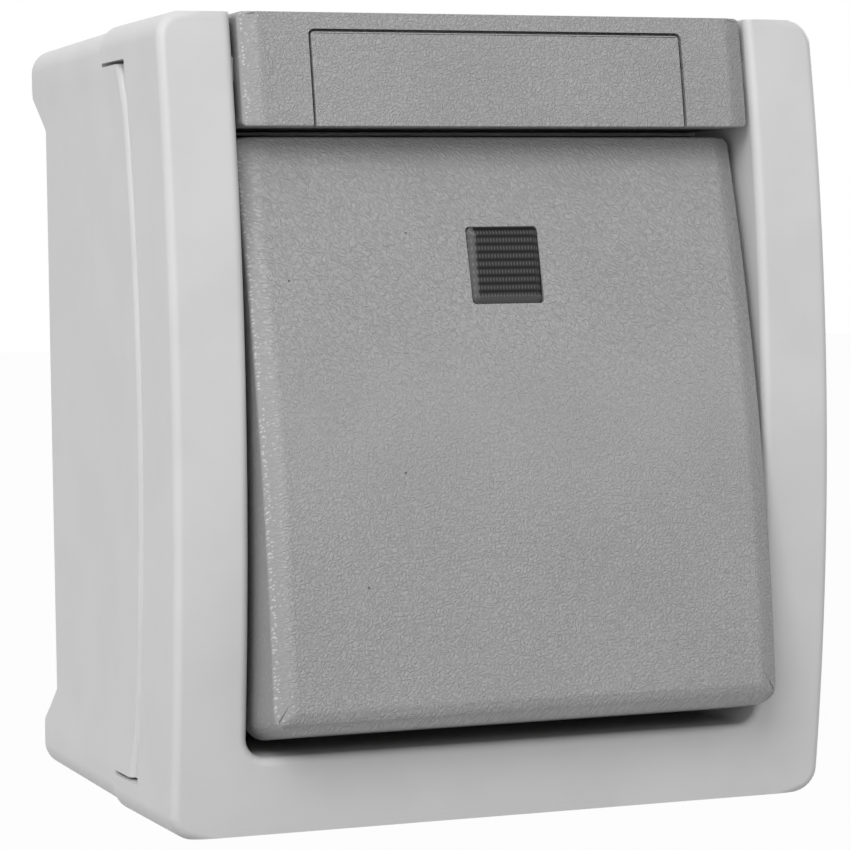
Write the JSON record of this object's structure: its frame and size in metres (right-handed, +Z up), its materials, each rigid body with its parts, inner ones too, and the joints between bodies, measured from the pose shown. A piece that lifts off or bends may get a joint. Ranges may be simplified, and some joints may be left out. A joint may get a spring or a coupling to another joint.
{
  "type": "illuminated push-button switch",
  "caption": "Surface-mounted push-button switch for damp rooms, with a tilting rocker, a signal lens and a label bar in an arched cover frame.",
  "frame": {"origin": "centre of the flat back face, on the wall", "axes": "+X to the right seen from the front, +Y into the wall, +Z up; the front faces -Y"},
  "size_m": [0.068, 0.0577, 0.0796],
  "materials": {
    "light_housing": "light grey moulded plastic, smooth satin",
    "dark_grained": "mid grey moulded plastic with a fine leather-like grain",
    "smoked_lens": "smoked clear plastic with rows of fine dots",
    "clear_guide": "clear plastic",
    "black_moulding": "black moulded plastic, satin",
    "white_moulding": "white moulded plastic, satin",
    "steel": "zinc-plated steel",
    "brass": "plain brass",
    "copper": "copper alloy strip",
    "rubber": "dark grey rubber",
    "lamp_glass": "clear glass of a small glow lamp",
    "lead_sleeve": "wire insulation"
  },
  "bodies": {
    "housing": {"back_box": "light_housing", "cover_frame": "light_housing", "cover_gasket": "rubber", "top_bar": "dark_grained", "label_panel": "dark_grained", "top_cable_grommet": "rubber", "bottom_cable_grommet": "rubber", "wall_screw_seal_upper": "rubber", "wall_screw_seal_lower": "rubber", "pivot_pin": "steel", "mechanism_base": "black_moulding", "mechanism_cover": "white_moulding", "fixed_contact_left": "copper", "fixed_contact_right": "copper", "return_spring": "steel", "terminal_clamp_upper_left": "brass", "terminal_clamp_upper_right": "brass", "terminal_clamp_lower_left": "brass", "terminal_clamp_lower_right": "brass", "terminal_screw_upper_left": "steel", "terminal_screw_upper_right": "steel", "terminal_screw_lower_left": "steel", "terminal_screw_lower_right": "steel", "lamp_holder": "white_moulding", "signal_lamp": "lamp_glass", "lamp_lead_left": "lead_sleeve", "lamp_lead_right": "lead_sleeve", "mechanism_screw_upper": "steel", "mechanism_screw_lower": "steel"},
    "rocker": {"push_rocker": "dark_grained", "indicator_lens": "smoked_lens", "light_guide": "clear_guide", "rocker_yoke": "black_moulding"},
    "plunger": {"contact_plunger": "white_moulding", "contact_bridge": "copper"}
  },
  "joints": [
    {"name": "rocker_press", "type": "hinge", "parent": "housing", "child": "rocker", "pos_m": [0, -0.044, -0.00165], "axis": [1, 0, 0], "range_deg": [0, 6], "stiffness_Nm_per_rad": 0.5, "springref_deg": -4.58},
    {"name": "plunger_slide", "type": "slide", "parent": "housing", "child": "plunger", "axis": [0, 0, 1], "range_m": [0, 0.0021], "deforming": ["return_spring"]}
  ],
  "couplings": [
    {"joint": "plunger_slide", "follows": "rocker_press", "m_per_rad": 0.02}
  ]
}
